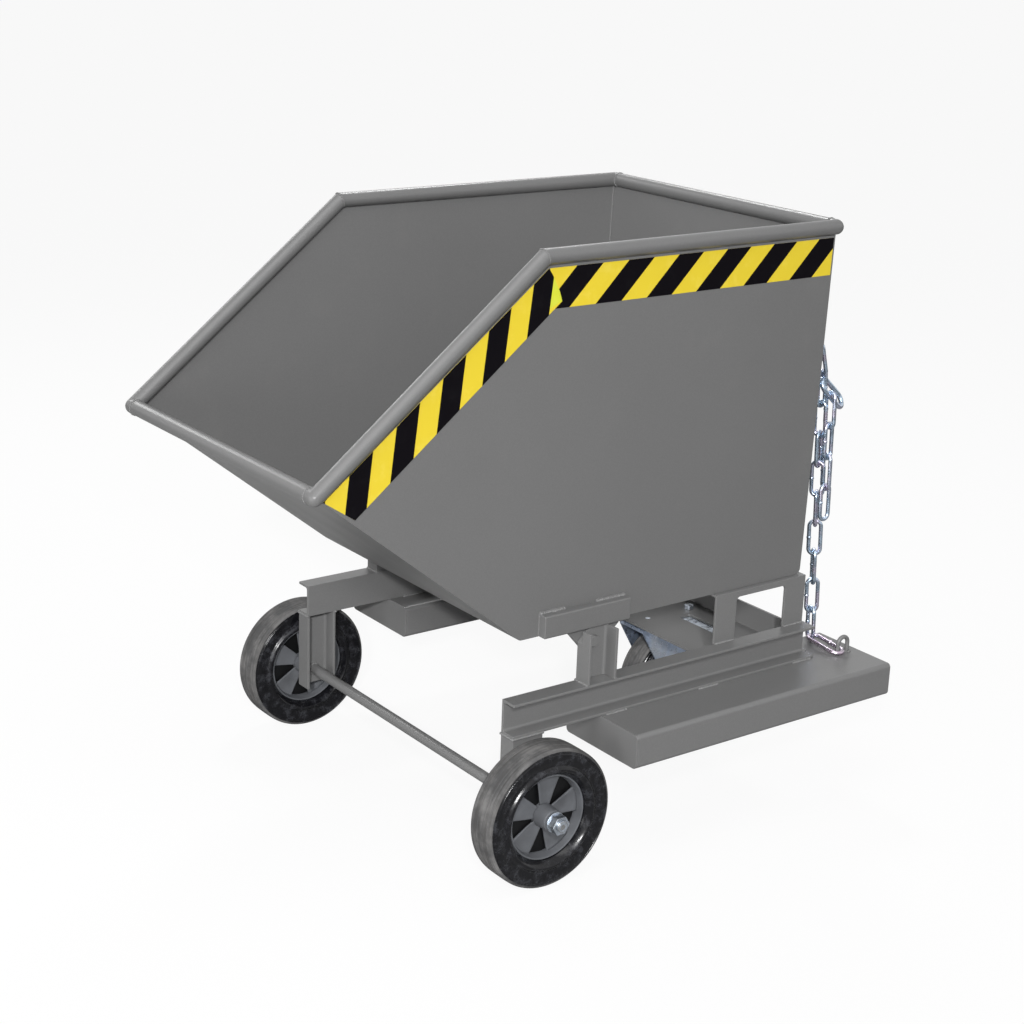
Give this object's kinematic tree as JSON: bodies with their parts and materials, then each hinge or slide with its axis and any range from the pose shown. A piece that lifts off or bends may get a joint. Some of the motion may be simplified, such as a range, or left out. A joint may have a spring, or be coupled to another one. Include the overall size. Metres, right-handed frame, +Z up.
{
  "type": "tipping skip trolley",
  "caption": "Open steel tipping skip on a wheeled chassis with fork pockets, fixed front wheels, a swivel caster at the rear and a safety chain; the skip tips forward on side pivots.",
  "frame": {"origin": "middle of the whole footprint, on the floor", "axes": "X along the trolley from the tipping lip (minus) to the push end (plus), Y across it, Z up; the left side is at minus Y"},
  "size_m": [1.1664, 0.9032, 1.0575],
  "materials": {
    "grey_paint": "satin grey powder coat",
    "chassis_paint": "satin grey powder coat",
    "zinc": "bright zinc plating",
    "chain_zinc": "bright zinc plating",
    "tape_yellow": "satin adhesive tape",
    "tape_black": "satin adhesive tape",
    "tyre": "solid rubber, matte",
    "rim_plastic": "moulded grey plastic"
  },
  "bodies": {
    "chassis": {"channel_left": "chassis_paint", "channel_right": "chassis_paint", "leg_left": "chassis_paint", "leg_right": "chassis_paint", "post_left": "chassis_paint", "post_right": "chassis_paint", "pivot_pins": "chassis_paint", "pocket_left": "chassis_paint", "pocket_right": "chassis_paint", "pocket_caps": "chassis_paint", "portal_left": "chassis_paint", "portal_right": "chassis_paint", "cross_plate": "chassis_paint", "caster_adapter": "zinc", "axle_bar": "chassis_paint", "wheel_washers": "zinc", "wheel_nuts": "zinc", "caster_plate": "zinc", "swivel_race": "zinc", "kingpin": "zinc", "caster_bolts": "zinc", "chain_eye": "chassis_paint", "quick_link": "chain_zinc"},
    "skip": {"skip_side_left": "grey_paint", "skip_side_right": "grey_paint", "skip_sheet": "grey_paint", "rim_left": "grey_paint", "rim_right": "grey_paint", "rim_lip": "grey_paint", "rim_rear": "grey_paint", "side_rail_left": "grey_paint", "side_rail_right": "grey_paint", "pivot_ears": "grey_paint", "hazard_tape_left": "tape_yellow", "hazard_tape_right": "tape_yellow", "tape_stripes_left": "tape_black", "tape_stripes_right": "tape_black", "push_handle": "grey_paint", "chain_peg": "zinc"},
    "front_wheel_left": {"front_tyre_left": "tyre", "front_rim_left": "rim_plastic", "front_sleeve_left": "zinc"},
    "front_wheel_right": {"front_tyre_right": "tyre", "front_rim_right": "rim_plastic", "front_sleeve_right": "zinc"},
    "caster_swivel": {"caster_fork": "zinc", "caster_axle": "zinc"},
    "caster_wheel": {"caster_tyre": "tyre", "caster_rim": "rim_plastic", "caster_sleeve": "zinc"},
    "chain": {"chain_run": "chain_zinc", "chain_oval": "chain_zinc", "chain_tail": "chain_zinc"}
  },
  "joints": [
    {"name": "skip_tip", "type": "hinge", "parent": "chassis", "child": "skip", "pos_m": [-0.02575, 0, 0.377], "axis": [0, -1, 0], "range_deg": [0, 48]},
    {"name": "front_left_spin", "type": "hinge", "parent": "chassis", "child": "front_wheel_left", "pos_m": [-0.18075, -0.3896, 0.125], "axis": [0, 1, 0], "continuous": true},
    {"name": "front_right_spin", "type": "hinge", "parent": "chassis", "child": "front_wheel_right", "pos_m": [-0.18075, 0.3896, 0.125], "axis": [0, 1, 0], "continuous": true},
    {"name": "caster_turn", "type": "hinge", "parent": "chassis", "child": "caster_swivel", "pos_m": [0.39125, 0, 0.226], "axis": [0, 0, 1], "continuous": true},
    {"name": "caster_spin", "type": "hinge", "parent": "caster_swivel", "child": "caster_wheel", "pos_m": [0.42925, 0, 0.102], "axis": [0, 1, 0], "continuous": true},
    {"name": "chain_swing", "type": "hinge", "parent": "chassis", "child": "chain", "pos_m": [0.53325, -0.285, 0.25255], "axis": [0, 1, 0], "range_deg": [0, 14]}
  ]
}
